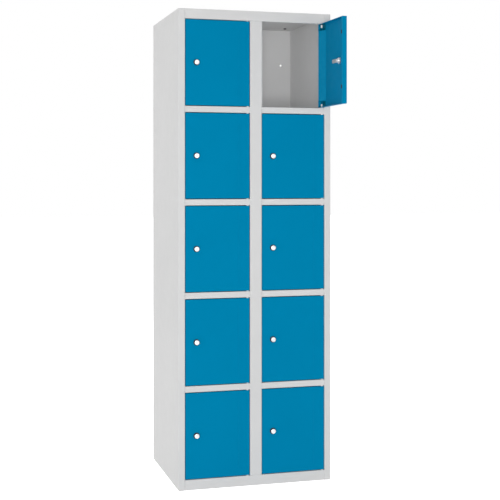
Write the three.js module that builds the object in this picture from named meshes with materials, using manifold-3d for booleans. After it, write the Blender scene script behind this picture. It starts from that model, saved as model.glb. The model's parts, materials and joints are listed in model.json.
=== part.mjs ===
// Steel compartment locker: two columns of five inset doors on pivot pins, each with a cam lock.
// Millimetres, +Z up, front towards -Y, origin on the floor under the middle of the cabinet.

import * as THREE from "three";
import { mergeVertices } from "three/addons/utils/BufferGeometryUtils.js";
import Module from "manifold-3d";

const wasm = await Module();
wasm.setup();

// Overall size
const WIDTH = 600;
const DEPTH = 500;
const HEIGHT = 1800;
const TIERS = 5;

// Front frame
const SIDE_STILE = 24.5;
const CENTRE_STILE = 46;
const TOP_RAIL = 37.3;
const BOTTOM_RAIL = 38.7;
const SHELF_RAIL = 23;
const STOP_LIP = 8;
const RAIL_LIP = 10;

// Sheet and joints
const SHEET = 1;
const FLANGE = 15;
const FOOT_FLANGE = 15;
const JOINT_GAP = 0.3;
const NOTCH_GAP = 0.25;
const PUNCH_LENGTH = 4;
const BASE_CHANNEL = 40;

// Doors
const DOOR_DEPTH = 17;
const DOOR_LIP = 18;
const CLOSING_GAP = 2.3;
const END_GAP = 2.7;
const SWING_CLEAR = 0.6;
const STIFFENER_WIDTH = 43;
const STIFFENER_END = 25;
const OPEN_ANGLE = 91.8;
const OPEN_DOOR = "right_1";

// Pivot pins
const PIN_RADIUS = 2.5;
const PIN_TO_EDGE = 7;
const PIN_REACH = 12;
const SLEEVE_WALL = 1;
const COLLAR_STEP = 1.4;
const PIN_HEAD_STEP = 1;
const PIN_HEAD_HEIGHT = 2;
const PIN_COVER = 0.2;
const RUNNING_GAP = 0.3;

// Locks
const LOCK_INSET = 44.5;
const BEZEL_RADIUS = 12;
const BEZEL_HEIGHT = 1.5;
const HEAD_RADIUS = 9;
const HEAD_HEIGHT = 9;
const BARREL_RADIUS = 8;
const SLEEVE_RADIUS = 11.25;
const SLEEVE_HEIGHT = 16;
const PLUG_RADIUS = 5.6;
const CAM_CLEAR = 2.5;
const CAM_THICKNESS = 2.5;
const CAM_WIDTH = 14;
const CAM_ENGAGE = 5;
const SCREW_RADIUS = 4;
const SCREW_HEIGHT = 2;

// Holes in the cabinet
const SIDE_HOLE_RADIUS = 2.25;
const SIDE_HOLE_FROM_FRONT = 60;
const SIDE_HOLE_FROM_BACK = 50;
const SIDE_HOLE_OFFSETS = [-553, -435, -293, 0, 293, 435, 553];
const WALL_HOLE_RADIUS = 4.25;
const WALL_HOLE_FROM_SIDE = 46;
const WALL_HOLE_FROM_TOP = 150;
const ROOF_HOLE_RADIUS = 6.5;
const ROOF_HOLE_FROM_SIDE = 50;
const ROOF_HOLE_FROM_BACK = 75;
const PLUG_CAP_RADIUS = 9;
const PLUG_CAP_HEIGHT = 1.5;
const PLUG_DEPTH = 3;

// Facets on round work
const SMALL = 8;
const COARSE = 10;
const FINE = 12;
const CAM_END = 6;

// Places that follow from the sizes
const RIGHT = WIDTH / 2;
const FRONT = -DEPTH / 2;
const BACK = DEPTH / 2;
const openingWidth = (WIDTH - 2 * SIDE_STILE - CENTRE_STILE) / 2;
const tierPitch = (HEIGHT - TOP_RAIL - BOTTOM_RAIL + SHELF_RAIL) / TIERS;
const openingHeight = tierPitch - SHELF_RAIL;
const sleeveRadius = PIN_RADIUS + SLEEVE_WALL;
const doorHoleRadius = sleeveRadius + RUNNING_GAP;
const railHoleRadius = PIN_RADIUS + RUNNING_GAP;
const pinSetback = SHEET + doorHoleRadius + PIN_COVER;
const collarHeight = END_GAP - 2 * JOINT_GAP;
const hingeGap = Math.hypot(PIN_TO_EDGE, pinSetback) - PIN_TO_EDGE + SWING_CLEAR;
const doorWidth = openingWidth - CLOSING_GAP - hingeGap;
const doorHeight = openingHeight - 2 * END_GAP;
const heelRadius = Math.hypot(PIN_TO_EDGE, DOOR_DEPTH - pinSetback);
const stopFace = FRONT + pinSetback + heelRadius + SWING_CLEAR;
const stopBack = stopFace + SHEET;
const camFront = stopBack + CAM_CLEAR;
const innerWall = RIGHT - SHEET;
const innerBack = BACK - SHEET;

const COLUMNS = [
  { name: "left", edge: -RIGHT + SIDE_STILE, wallFrom: -innerWall, wallTo: -SHEET / 2 },
  { name: "right", edge: CENTRE_STILE / 2, wallFrom: SHEET / 2, wallTo: innerWall },
];

const tierTop = (tier) => HEIGHT - TOP_RAIL - (tier - 1) * tierPitch;
const pinX = (column) => column.edge + openingWidth - hingeGap - PIN_TO_EDGE;
const pinY = FRONT + pinSetback;

// Finishes
const paint = (color) => new THREE.MeshStandardMaterial({ color, roughness: 0.55, metalness: 0 });
const metal = (color, roughness) => new THREE.MeshStandardMaterial({ color, roughness, metalness: 1 });
const BODY_PAINT = () => paint(0xd3d5d6);
const DOOR_PAINT = () => paint(0x0082ae);
const CHROME = () => metal(0xe6e7e8, 0.2);
const ZINC = () => metal(0xb9bcbd, 0.4);
const NYLON = () => paint(0xf2f2ee);
const BLACK_PLASTIC = () => paint(0x2b2c2e);

// Solids and meshes
function toSolid(geometry) {
  const bare = geometry.clone();
  bare.deleteAttribute("normal");
  bare.deleteAttribute("uv");
  const merged = mergeVertices(bare, 1e-4);
  const vertProperties = Float32Array.from(merged.attributes.position.array);
  const triVerts = Uint32Array.from(merged.index.array);
  return new wasm.Manifold(new wasm.Mesh({ numProp: 3, vertProperties, triVerts }));
}

function toMesh(name, solid, material) {
  const { vertProperties, triVerts } = solid.getMesh();
  const geometry = new THREE.BufferGeometry();
  geometry.setAttribute("position", new THREE.BufferAttribute(Float32Array.from(vertProperties), 3));
  geometry.setIndex(new THREE.BufferAttribute(Uint32Array.from(triVerts), 1));
  geometry.computeVertexNormals();
  const mesh = new THREE.Mesh(geometry, material);
  mesh.name = name;
  return mesh;
}

// A block between two values on each axis, given in either order.
const block = (x, y, z) => [x, y, z].map(([a, b]) => [Math.min(a, b), Math.max(a, b)]);

function blockSolid(spans, grow = 0) {
  const size = spans.map(([low, high]) => high - low + 2 * grow);
  const middle = spans.map(([low, high]) => (low + high) / 2);
  const geometry = new THREE.BoxGeometry(...size);
  geometry.translate(...middle);
  return toSolid(geometry);
}

const sheetSolid = (blocks, grow = 0) => blocks
  .map((spans) => blockSolid(spans, grow))
  .reduce((whole, piece) => whole.add(piece));

const without = (solid, cutters) => cutters.reduce((rest, cutter) => rest.subtract(cutter), solid);

// The space that neighbouring sheets need, with a clearance all round.
const roomFor = (blocks) => sheetSolid(blocks, NOTCH_GAP);

function rod(radius, length, axis, place, segments = COARSE) {
  const geometry = new THREE.CylinderGeometry(radius, radius, length, segments);
  if (axis === "x") geometry.rotateZ(Math.PI / 2);
  if (axis === "z") geometry.rotateX(Math.PI / 2);
  geometry.translate(...place);
  return toSolid(geometry);
}

function turned(profile, segments) {
  const points = profile.map(([radius, height]) => new THREE.Vector2(radius, height));
  return toSolid(new THREE.LatheGeometry(points, segments));
}

// Cabinet: side panels with the front stile folded on
function sideBlocks(side) {
  const x = (inset) => side * (RIGHT - inset);
  const full = [0, HEIGHT];
  return [
    block([x(0), x(SHEET)], [FRONT, BACK], full),
    block([x(0), x(SIDE_STILE)], [FRONT, FRONT + SHEET], full),
    block([x(SIDE_STILE - SHEET), x(SIDE_STILE)], [FRONT, stopBack], full),
    block([x(SIDE_STILE - SHEET), x(SIDE_STILE + STOP_LIP)], [stopFace, stopBack], full),
    block([x(0), x(FOOT_FLANGE)], [FRONT, BACK], [0, SHEET]),
  ];
}

function sidePanel(side) {
  const rows = [FRONT + SIDE_HOLE_FROM_FRONT, BACK - SIDE_HOLE_FROM_BACK];
  const holes = rows.flatMap((y) => SIDE_HOLE_OFFSETS.map((offset) => (
    rod(SIDE_HOLE_RADIUS, PUNCH_LENGTH, "x", [side * RIGHT, y, HEIGHT / 2 + offset], SMALL)
  )));
  return without(sheetSolid(sideBlocks(side)), holes);
}

const SIDES = [...sideBlocks(-1), ...sideBlocks(1)];

// Back panel: a tray between the sides, open towards the front
function backBlocks() {
  const edge = innerWall - JOINT_GAP;
  const z = [SHEET + JOINT_GAP, HEIGHT - SHEET - JOINT_GAP];
  return [
    block([-edge, edge], [innerBack, BACK], z),
    block([-edge, SHEET - edge], [BACK - FLANGE, BACK], z),
    block([edge, edge - SHEET], [BACK - FLANGE, BACK], z),
  ];
}

function backPanel() {
  const holes = [-1, 1].map((side) => {
    const place = [side * (RIGHT - WALL_HOLE_FROM_SIDE), BACK, HEIGHT - WALL_HOLE_FROM_TOP];
    return rod(WALL_HOLE_RADIUS, PUNCH_LENGTH, "y", place, FINE);
  });
  return without(sheetSolid(backBlocks()), holes);
}

// Centre stile: a hat section whose brims are the door stops
function centreStileBlocks() {
  const half = CENTRE_STILE / 2;
  const z = [BOTTOM_RAIL + JOINT_GAP, HEIGHT - TOP_RAIL - JOINT_GAP];
  const flanks = [-1, 1].flatMap((side) => [
    block([side * half, side * (half - SHEET)], [FRONT, stopBack], z),
    block([side * (half - SHEET), side * (half + STOP_LIP)], [stopFace, stopBack], z),
  ]);
  return [block([-half, half], [FRONT, FRONT + SHEET], z), ...flanks];
}

// Centre partition, with a narrow fold behind the stile's face
function centrePartition() {
  const faceBack = FRONT + SHEET + JOINT_GAP;
  const z = [BOTTOM_RAIL + JOINT_GAP, HEIGHT - SHEET - JOINT_GAP];
  const sheet = sheetSolid([
    block([-SHEET / 2, SHEET / 2], [faceBack, innerBack - JOINT_GAP], z),
    block([-SHEET / 2, FLANGE], [faceBack, faceBack + SHEET], z),
  ]);
  const railNotch = block([-CENTRE_STILE, CENTRE_STILE], [FRONT, stopBack], [HEIGHT - TOP_RAIL, HEIGHT]);
  const roofRoom = roomFor(trayBlocks(-innerWall, innerWall, HEIGHT));
  return without(sheet, [roomFor([railNotch]), roofRoom]);
}

// A rail folded on to the front edge of a roof or shelf that lies at the height "top"
function railBlocks(from, to, bottom, top) {
  return [
    block([from, to], [FRONT, FRONT + SHEET], [bottom, top]),
    block([from, to], [FRONT, stopBack], [bottom, bottom + SHEET]),
    block([from, to], [stopFace, stopBack], [bottom, bottom + RAIL_LIP]),
  ];
}

// A flat with flanges turned down at its sides and back
function trayBlocks(from, to, top) {
  const wide = [from + JOINT_GAP, to - JOINT_GAP];
  const y = [stopBack + JOINT_GAP, innerBack - JOINT_GAP];
  const drop = [top - FLANGE, top];
  return [
    block(wide, y, [top - SHEET, top]),
    block([wide[0], wide[0] + SHEET], y, drop),
    block([wide[1] - SHEET, wide[1]], y, drop),
    block(wide, [y[1] - SHEET, y[1]], drop),
  ];
}

const pinHole = (column, z) => rod(railHoleRadius, PUNCH_LENGTH, "z", [pinX(column), pinY, z]);

// Roof: covers the back panel's top edge and carries the top rail
const FRAME_EDGE = RIGHT - SIDE_STILE - JOINT_GAP;

function roofHole(side) {
  return [side * (RIGHT - ROOF_HOLE_FROM_SIDE), BACK - ROOF_HOLE_FROM_BACK, HEIGHT];
}

function roof() {
  const sheet = sheetSolid([
    ...trayBlocks(-innerWall, innerWall, HEIGHT),
    ...railBlocks(-FRAME_EDGE, FRAME_EDGE, HEIGHT - TOP_RAIL, HEIGHT),
    block([JOINT_GAP - innerWall, innerWall - JOINT_GAP], [FRONT, BACK], [HEIGHT - SHEET, HEIGHT]),
  ]);
  const pins = COLUMNS.map((column) => pinHole(column, HEIGHT - TOP_RAIL));
  const plugs = [-1, 1].map((side) => rod(ROOF_HOLE_RADIUS, PUNCH_LENGTH, "z", roofHole(side), FINE));
  return without(sheet, [roomFor(SIDES), roomFor(backBlocks()), ...pins, ...plugs]);
}

// Floor: its front fold is the bottom rail, standing on the ground by a turned-in foot
function floorPan() {
  const sheet = sheetSolid([
    ...trayBlocks(-innerWall, innerWall, BOTTOM_RAIL),
    block([-FRAME_EDGE, FRAME_EDGE], [FRONT, stopBack + SHEET], [BOTTOM_RAIL - SHEET, BOTTOM_RAIL]),
    block([-FRAME_EDGE, FRAME_EDGE], [FRONT, FRONT + SHEET], [0, BOTTOM_RAIL]),
    block([-FRAME_EDGE, FRAME_EDGE], [FRONT, FRONT + FOOT_FLANGE], [0, SHEET]),
  ]);
  const pins = COLUMNS.map((column) => pinHole(column, BOTTOM_RAIL));
  return without(sheet, [roomFor(SIDES), roomFor(backBlocks()), ...pins]);
}

// Channel on the ground that carries the partition's load
function baseChannel() {
  const half = BASE_CHANNEL / 2;
  const y = [FRONT + FOOT_FLANGE + JOINT_GAP, innerBack - SHEET - 2 * JOINT_GAP];
  const z = [0, BOTTOM_RAIL - SHEET - JOINT_GAP];
  return sheetSolid([
    block([-half, half], y, [0, SHEET]),
    block([-half, SHEET - half], y, z),
    block([half, half - SHEET], y, z),
  ]);
}

// Shelf: its front edge is folded into the rail between two doors
function shelf(column, tier) {
  const bottom = tierTop(tier) - openingHeight - SHELF_RAIL;
  const top = bottom + SHELF_RAIL;
  const from = column.edge + JOINT_GAP;
  const to = column.edge + openingWidth - JOINT_GAP;
  const sheet = sheetSolid([
    ...trayBlocks(column.wallFrom, column.wallTo, top),
    ...railBlocks(from, to, bottom, top),
    block([from, to], [FRONT, stopBack + SHEET], [top - SHEET, top]),
  ]);
  const pins = [pinHole(column, bottom), pinHole(column, top)];
  return without(sheet, [roomFor(SIDES), roomFor(centreStileBlocks()), roomFor(backBlocks()), ...pins]);
}

// One end of a pivot pin, outwards from the middle of what the pin passes through:
// a nylon collar and sleeve where a door hangs on it, or else a plain head.
function pinEnd(halfThrough, carriesDoor) {
  const seat = halfThrough + JOINT_GAP;
  if (!carriesDoor) {
    const head = PIN_RADIUS + PIN_HEAD_STEP;
    const top = seat + PIN_HEAD_HEIGHT;
    return [[PIN_RADIUS, seat], [head, seat], [head, top], [0, top]];
  }
  const brim = sleeveRadius + COLLAR_STEP;
  const tip = halfThrough + END_GAP + SHEET + PIN_REACH;
  return [
    [PIN_RADIUS, seat],
    [brim, seat],
    [brim, seat + collarHeight],
    [sleeveRadius, seat + collarHeight],
    [sleeveRadius, tip],
    [0, tip],
  ];
}

function pivotPin(through, doorBelow, doorAbove) {
  const lower = pinEnd(through / 2, doorBelow).map(([radius, height]) => [radius, -height]);
  return turned([...lower.reverse(), ...pinEnd(through / 2, doorAbove)], COARSE).rotate([90, 0, 0]);
}

// Door: a pan whose own origin is on the pivot axis at mid-height
const doorLeft = PIN_TO_EDGE - doorWidth;
const doorFace = -pinSetback;
const doorRear = DOOR_DEPTH - pinSetback;
const lockX = doorLeft + LOCK_INSET - CLOSING_GAP;

// A sheet that slants from the hinge edge down to the inside of the face, cut short of the pins
function stiffener() {
  const seat = doorFace + SHEET / 2;
  const slope = (doorRear - seat) / STIFFENER_WIDTH;
  const thickness = SHEET * Math.hypot(1, slope);
  const foot = PIN_TO_EDGE - STIFFENER_WIDTH;
  const outline = new THREE.Shape();
  outline.moveTo(foot, seat);
  outline.lineTo(foot + thickness / slope, seat);
  outline.lineTo(PIN_TO_EDGE, doorRear - thickness);
  outline.lineTo(PIN_TO_EDGE, doorRear);
  outline.closePath();
  const depth = doorHeight - 2 * STIFFENER_END;
  const geometry = new THREE.ExtrudeGeometry(outline, { depth, bevelEnabled: false });
  geometry.translate(0, 0, -depth / 2);
  return toSolid(geometry);
}

function door() {
  const x = [doorLeft, PIN_TO_EDGE];
  const y = [doorFace, doorRear];
  const z = [-doorHeight / 2, doorHeight / 2];
  const lip = [doorRear - SHEET, doorRear];
  const sheet = sheetSolid([
    block(x, [doorFace, doorFace + SHEET], z),
    block([x[0], x[0] + SHEET], y, z),
    block([x[1], x[1] - SHEET], y, z),
    block(x, y, [z[0], z[0] + SHEET]),
    block(x, y, [z[1], z[1] - SHEET]),
    block([x[0], x[0] + DOOR_LIP], lip, z),
  ]).add(stiffener());
  return without(sheet, [
    rod(BARREL_RADIUS + JOINT_GAP, PUNCH_LENGTH, "y", [lockX, doorFace, 0], FINE),
    rod(doorHoleRadius, PUNCH_LENGTH, "z", [0, 0, z[0]]),
    rod(doorHoleRadius, PUNCH_LENGTH, "z", [0, 0, z[1]]),
  ]);
}

// Lock housing: head, bezel, barrel and the round clamping sleeve, bored for the plug.
// Its own origin is on the lock's axis at the door's outer face, and it points along -Y.
const camY = camFront - FRONT;

function lockHousing() {
  const bore = PLUG_RADIUS + 2 * RUNNING_GAP;
  const rear = JOINT_GAP - camY;
  const barrel = turned([
    [bore, HEAD_HEIGHT],
    [bore, rear],
    [BARREL_RADIUS, rear],
    [BARREL_RADIUS, JOINT_GAP],
    [BEZEL_RADIUS, JOINT_GAP],
    [BEZEL_RADIUS, BEZEL_HEIGHT],
    [HEAD_RADIUS, BEZEL_HEIGHT],
    [HEAD_RADIUS, HEAD_HEIGHT],
    [bore, HEAD_HEIGHT],
  ], FINE);
  const sleeveMiddle = -SHEET - JOINT_GAP - SLEEVE_HEIGHT / 2;
  const sleeve = rod(SLEEVE_RADIUS, SLEEVE_HEIGHT, "y", [0, sleeveMiddle, 0], FINE);
  const sleeveBore = rod((bore + BARREL_RADIUS) / 2, 2 * SLEEVE_HEIGHT, "y", [0, sleeveMiddle, 0], FINE);
  return barrel.add(sleeve.subtract(sleeveBore)).rotate([180, 0, 0]);
}

// Lock rotor: plug, cam and cam screw, in the housing's frame. The cam points to the hinge side.
function lockRotor() {
  const face = JOINT_GAP - HEAD_HEIGHT;
  const camBack = camY + CAM_THICKNESS;
  const plug = rod(PLUG_RADIUS, camBack - face, "y", [0, (face + camBack) / 2, 0], FINE);
  const screw = rod(SCREW_RADIUS, SCREW_HEIGHT, "y", [0, camBack + SCREW_HEIGHT / 2, 0]);
  const half = CAM_WIDTH / 2;
  const reach = LOCK_INSET - STOP_LIP + CAM_ENGAGE - half;
  const outline = new THREE.Shape();
  outline.absarc(0, 0, half, Math.PI / 2, 1.5 * Math.PI, false);
  outline.absarc(reach, 0, half, -Math.PI / 2, Math.PI / 2, false);
  const camGeometry = new THREE.ExtrudeGeometry(outline, {
    depth: CAM_THICKNESS,
    bevelEnabled: false,
    curveSegments: CAM_END,
  });
  camGeometry.rotateX(Math.PI / 2);
  camGeometry.translate(0, camBack, 0);
  return plug.add(toSolid(camGeometry)).add(screw);
}

// Plastic plug pressed into a hole in the roof from above
function roofPlug() {
  const stem = ROOF_HOLE_RADIUS - JOINT_GAP;
  return turned([
    [0, -SHEET - PLUG_DEPTH],
    [stem, -SHEET - PLUG_DEPTH],
    [stem, JOINT_GAP],
    [PLUG_CAP_RADIUS, JOINT_GAP],
    [PLUG_CAP_RADIUS, JOINT_GAP + PLUG_CAP_HEIGHT],
    [0, JOINT_GAP + PLUG_CAP_HEIGHT],
  ], FINE).rotate([90, 0, 0]);
}

// Assembly
const locker = new THREE.Group();

function place(parent, name, solid, material, position = [0, 0, 0]) {
  const mesh = toMesh(name, solid, material);
  mesh.position.set(...position);
  parent.add(mesh);
}

place(locker, "left_side", sidePanel(-1), BODY_PAINT());
place(locker, "right_side", sidePanel(1), BODY_PAINT());
place(locker, "back_panel", backPanel(), BODY_PAINT());
place(locker, "roof", roof(), BODY_PAINT());
place(locker, "floor_pan", floorPan(), BODY_PAINT());
place(locker, "centre_partition", centrePartition(), BODY_PAINT());
place(locker, "centre_stile", sheetSolid(centreStileBlocks()), BODY_PAINT());
place(locker, "base_channel", baseChannel(), BODY_PAINT());
place(locker, "roof_plug_left", roofPlug(), BLACK_PLASTIC(), roofHole(-1));
place(locker, "roof_plug_right", roofPlug(), BLACK_PLASTIC(), roofHole(1));

function hangDoor(column, tier) {
  const name = `${column.name}_${tier}`;
  const hanging = new THREE.Group();
  hanging.position.set(pinX(column), pinY, tierTop(tier) - openingHeight / 2);
  if (name === OPEN_DOOR) hanging.rotation.z = THREE.MathUtils.degToRad(OPEN_ANGLE);
  const lockPlace = [lockX, doorFace, 0];
  place(hanging, `door_${name}`, door(), DOOR_PAINT());
  place(hanging, `lock_housing_${name}`, lockHousing(), CHROME(), lockPlace);
  place(hanging, `lock_cam_${name}`, lockRotor(), ZINC(), lockPlace);
  locker.add(hanging);
}

function addPins(column) {
  for (let number = 1; number <= TIERS + 1; number += 1) {
    const first = number === 1;
    const last = number === TIERS + 1;
    const through = first || last ? SHEET : SHELF_RAIL;
    const base = last ? BOTTOM_RAIL - SHEET : tierTop(number);
    const pin = pivotPin(through, !last, !first);
    const middle = [pinX(column), pinY, base + through / 2];
    place(locker, `hinge_pin_${column.name}_${number}`, pin, NYLON(), middle);
  }
}

for (const column of COLUMNS) {
  addPins(column);
  for (let tier = 1; tier <= TIERS; tier += 1) hangDoor(column, tier);
  for (let tier = 1; tier < TIERS; tier += 1) {
    place(locker, `shelf_${column.name}_${tier}`, shelf(column, tier), BODY_PAINT());
  }
}

export default locker;
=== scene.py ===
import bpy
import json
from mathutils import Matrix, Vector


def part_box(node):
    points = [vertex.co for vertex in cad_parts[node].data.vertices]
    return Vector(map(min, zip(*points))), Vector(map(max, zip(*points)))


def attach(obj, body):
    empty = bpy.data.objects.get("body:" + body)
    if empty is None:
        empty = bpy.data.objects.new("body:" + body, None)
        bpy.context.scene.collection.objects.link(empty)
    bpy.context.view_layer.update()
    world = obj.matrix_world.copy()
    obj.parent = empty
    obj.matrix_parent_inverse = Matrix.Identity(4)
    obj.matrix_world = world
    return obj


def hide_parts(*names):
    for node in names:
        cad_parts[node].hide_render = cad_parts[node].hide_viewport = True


bl_info = {
    "name": "Compartment Locker Finish",
    "version": (1, 0, 0),
    "blender": (4, 5, 0),
    "location": "3D View > Sidebar > Locker",
    "description": "Folds, fits and paints a steel compartment locker round its packed frame",
    "category": "Object",
}

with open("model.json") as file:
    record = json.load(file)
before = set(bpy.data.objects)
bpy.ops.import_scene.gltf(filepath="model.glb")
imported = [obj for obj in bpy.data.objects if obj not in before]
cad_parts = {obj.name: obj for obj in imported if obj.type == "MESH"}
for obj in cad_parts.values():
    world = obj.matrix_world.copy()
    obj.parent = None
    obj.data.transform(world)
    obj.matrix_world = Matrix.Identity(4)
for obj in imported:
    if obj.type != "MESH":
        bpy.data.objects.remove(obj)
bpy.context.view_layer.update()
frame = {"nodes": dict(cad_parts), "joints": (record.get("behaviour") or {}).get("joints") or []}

import json
import math

import bmesh
import bpy
from bpy.props import FloatProperty, FloatVectorProperty, IntProperty, PointerProperty
from mathutils import Matrix, Vector

JOINTS = {joint["child"]: joint for joint in frame["joints"]}
COLUMNS = ("left", "right")
TIERS = range(1, 6)
COMPARTMENTS = [f"{column}_{tier}" for column in COLUMNS for tier in TIERS]
PATTERN = "left_2"
OPEN_DOOR = "right_1"
TOUCH = 1e-5

# Small fittings, in metres
PIN_HOLE = 0.0038
BRACKET_WIDTH = 0.036
BRACKET_EAR = 0.0215
BRACKET_CORNER = -0.0046
BRACKET_SETBACK = 0.0035
BRACKET_SHEET = 0.0006
BRACKET_BEND = 0.0010
BRACKET_MITRE = 0.0005
BRACKET_PLAY = 0.0002
BRACKET_HOLE = 0.0037
BUFFER_SIZE = (0.0050, 0.0024, 0.0140)
BUFFER_ROUND = 0.0011
BUFFER_INSET = 0.0085
BUFFER_STAND_OFF = 0.0011
BUFFER_PLACES = (("lower", 0.195), ("upper", 0.822))
CAM_WIDTH = 0.014
CAM_THICKNESS = 0.0025
THREAD_CREST, THREAD_ROOT, THREAD_PITCH, THREAD_END = 0.0080, 0.0075, 0.0010, -0.0012

# Planes of the cabinet, read from the frame
LEFT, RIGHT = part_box("left_side")[0].x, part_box("right_side")[1].x
FRONT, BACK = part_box("right_side")[0].y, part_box("right_side")[1].y
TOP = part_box("right_side")[1].z
STOP_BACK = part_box("centre_stile")[1].y


# ---------------------------------------------------------------- settings


class LockerSizes(bpy.types.PropertyGroup):
    """Sizes of the sheet, its folds and the small fittings."""

    sheet: FloatProperty(
        name="Sheet", description="Thickness of the steel sheet", default=0.001, unit="LENGTH")
    bend: FloatProperty(
        name="Bend", description="Outer radius of a fold", default=0.0013, unit="LENGTH")
    bend_steps: IntProperty(
        name="Bend Steps", description="Facets in a quarter turn of a fold", default=4, min=2, max=8)
    joint: FloatProperty(
        name="Joint", description="Clearance between two sheets", default=0.0003, unit="LENGTH")
    stop_lip: FloatProperty(
        name="Stop Lip", description="Width of the lip a door closes on", default=0.008, unit="LENGTH")
    rail_lip: FloatProperty(
        name="Rail Lip", description="Height of the lip inside a rail", default=0.010, unit="LENGTH")
    flange: FloatProperty(
        name="Flange", description="Depth of a welding flange", default=0.015, unit="LENGTH")
    door_lip: FloatProperty(
        name="Door Lip", description="Width of the return lips of a door", default=0.018, unit="LENGTH")
    stiffener: FloatProperty(
        name="Stiffener", description="Width of the slanting fold at a door's hinge edge", default=0.043,
        unit="LENGTH")
    stiffener_end: FloatProperty(
        name="Stiffener End", description="How far that fold stops short of the door's ends",
        default=0.025, unit="LENGTH")
    collar: FloatProperty(
        name="Collar", description="Radius of a hinge bush's collar", default=0.0049, unit="LENGTH")
    bore: FloatProperty(
        name="Bore", description="Radius of the lock's hole in a door", default=0.0083, unit="LENGTH")
    side_hole: FloatProperty(
        name="Side Hole", description="Radius of the joining holes", default=0.00225, unit="LENGTH")
    wall_hole: FloatProperty(
        name="Wall Hole", description="Radius of the wall-fixing holes", default=0.00425, unit="LENGTH")


def colour(name, description, default):
    return FloatVectorProperty(
        name=name, description=description, default=default, size=3, min=0, max=1, subtype="COLOR")


class LockerColours(bpy.types.PropertyGroup):
    """Colours of the paints and the small parts."""

    body: colour("Body Paint", "Powder coat on the cabinet", (0.65, 0.65, 0.65))
    door: colour("Door Paint", "Powder coat on the doors", (0.0, 0.215, 0.41))
    plate: colour("Plate", "Bright plating on the lock heads", (0.92, 0.92, 0.93))
    zinc: colour("Zinc", "Zinc plate on nuts, cams and pins", (0.76, 0.77, 0.78))
    nylon: colour("Nylon", "Moulded hinge bushes", (0.88, 0.88, 0.86))
    # Besides the buffers and plugs, this black colours the ring round each lock head, where it partly
    # stands in for the shade round the head's foot.
    rubber: colour("Rubber", "Door buffers and sealing rings", (0.018, 0.018, 0.020))
    # Painted shade: the dark blue of the hinge brackets stands in for the shade in each door's hinge
    # corners.
    bracket: colour("Bracket Painted Shade", "Hinge brackets inside the doors", (0.0, 0.115, 0.175))
    floor: colour("Floor", "Studio floor", (0.86, 0.86, 0.86))


def sizes():
    return bpy.context.scene.locker_sizes


def colours():
    return bpy.context.scene.locker_colours


# ---------------------------------------------------------------- bench tools


def only(piece):
    """Leave one piece selected and active, in object mode."""
    if bpy.context.object and bpy.context.object.mode != "OBJECT":
        bpy.ops.object.mode_set(mode="OBJECT")
    bpy.ops.object.select_all(action="DESELECT")
    piece.select_set(True)
    bpy.context.view_layer.objects.active = piece


def clear():
    """Leave nothing selected, in object mode."""
    if bpy.context.object and bpy.context.object.mode != "OBJECT":
        bpy.ops.object.mode_set(mode="OBJECT")
    bpy.ops.object.select_all(action="DESELECT")


def settle(piece):
    """Put the piece's place, turn and scale into its mesh."""
    only(piece)
    bpy.ops.object.transform_apply(location=True, rotation=True, scale=True)
    return piece


def fit(piece, low, high):
    """Scale a settled unit primitive to fill the space between two corners."""
    size = [max(b - a, 1e-9) for a, b in zip(low, high)]
    now = [max(d, 1e-9) for d in piece.dimensions]
    only(piece)
    bpy.ops.transform.resize(value=[s / d if s > 1e-6 else 1 for s, d in zip(size, now)])
    return settle(piece)


TURNS = {"x": (0, math.pi / 2, 0), "y": (math.pi / 2, 0, 0), "z": (0, 0, 0)}


def plate(name, low, high):
    """A flat rectangle between two corners that share one coordinate."""
    low, high = Vector(low), Vector(high)
    facing = min("xyz", key=lambda axis: abs(getattr(high - low, axis)))
    clear()
    bpy.ops.mesh.primitive_plane_add(size=1, rotation=TURNS[facing])
    piece = settle(bpy.context.object)
    piece.name = name
    fit(piece, low, high)
    bpy.ops.transform.translate(value=(low + high) / 2)
    return settle(piece)


def brick(low, high):
    """A plain block between two corners, for cutting."""
    low, high = Vector(low), Vector(high)
    clear()
    bpy.ops.mesh.primitive_cube_add(size=1)
    piece = fit(bpy.context.object, low, high)
    bpy.ops.transform.translate(value=(low + high) / 2)
    return settle(piece)


def drill_bit(place, radius, axis, length=0.006, sides=32):
    clear()
    bpy.ops.mesh.primitive_cylinder_add(
        vertices=sides, radius=radius, depth=length, location=place, rotation=TURNS[axis])
    return settle(bpy.context.object)


def cut(piece, cutters):
    """Cut one piece by others, which are used up."""
    clear()
    for cutter in cutters:
        cutter.select_set(True)
    bpy.context.view_layer.objects.active = cutters[0]
    if len(cutters) > 1:
        bpy.ops.object.join()
    cutter = bpy.context.object
    only(piece)
    modifier = piece.modifiers.new("Cut", "BOOLEAN")
    modifier.operation = "DIFFERENCE"
    modifier.solver = "EXACT"
    modifier.object = cutter
    bpy.ops.object.modifier_apply(modifier=modifier.name)
    bpy.data.objects.remove(cutter)
    return piece


def lies(part, where):
    """Whether all of an edge or face lies at, or between, the values given for x, y and z."""
    for axis, span in where.items():
        low, high = span if isinstance(span, tuple) else (span, span)
        if any(not low - TOUCH <= getattr(v.co, axis) <= high + TOUCH for v in part.verts):
            return False
    return True


def pick(piece, kind="EDGE", **where):
    """In edit mode, select only the edges or faces that lie where asked."""
    bpy.ops.mesh.select_mode(type=kind)
    mesh = bmesh.from_edit_mesh(piece.data)
    bpy.ops.mesh.select_all(action="DESELECT")
    parts = mesh.edges if kind == "EDGE" else mesh.faces
    found = [part for part in parts if lies(part, where)]
    if not found:
        raise RuntimeError(f"{piece.name} has no {kind.lower()} where it should be folded: {where}")
    for part in found:
        part.select_set(True)
    bmesh.update_edit_mesh(piece.data)


def pick_more(piece, **where):
    """Add the edges that lie where asked to what is selected."""
    mesh = bmesh.from_edit_mesh(piece.data)
    for edge in mesh.edges:
        if lies(edge, where):
            edge.select_set(True)
    bmesh.update_edit_mesh(piece.data)


def start_folding(piece):
    only(piece)
    bpy.ops.object.mode_set(mode="EDIT")


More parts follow.
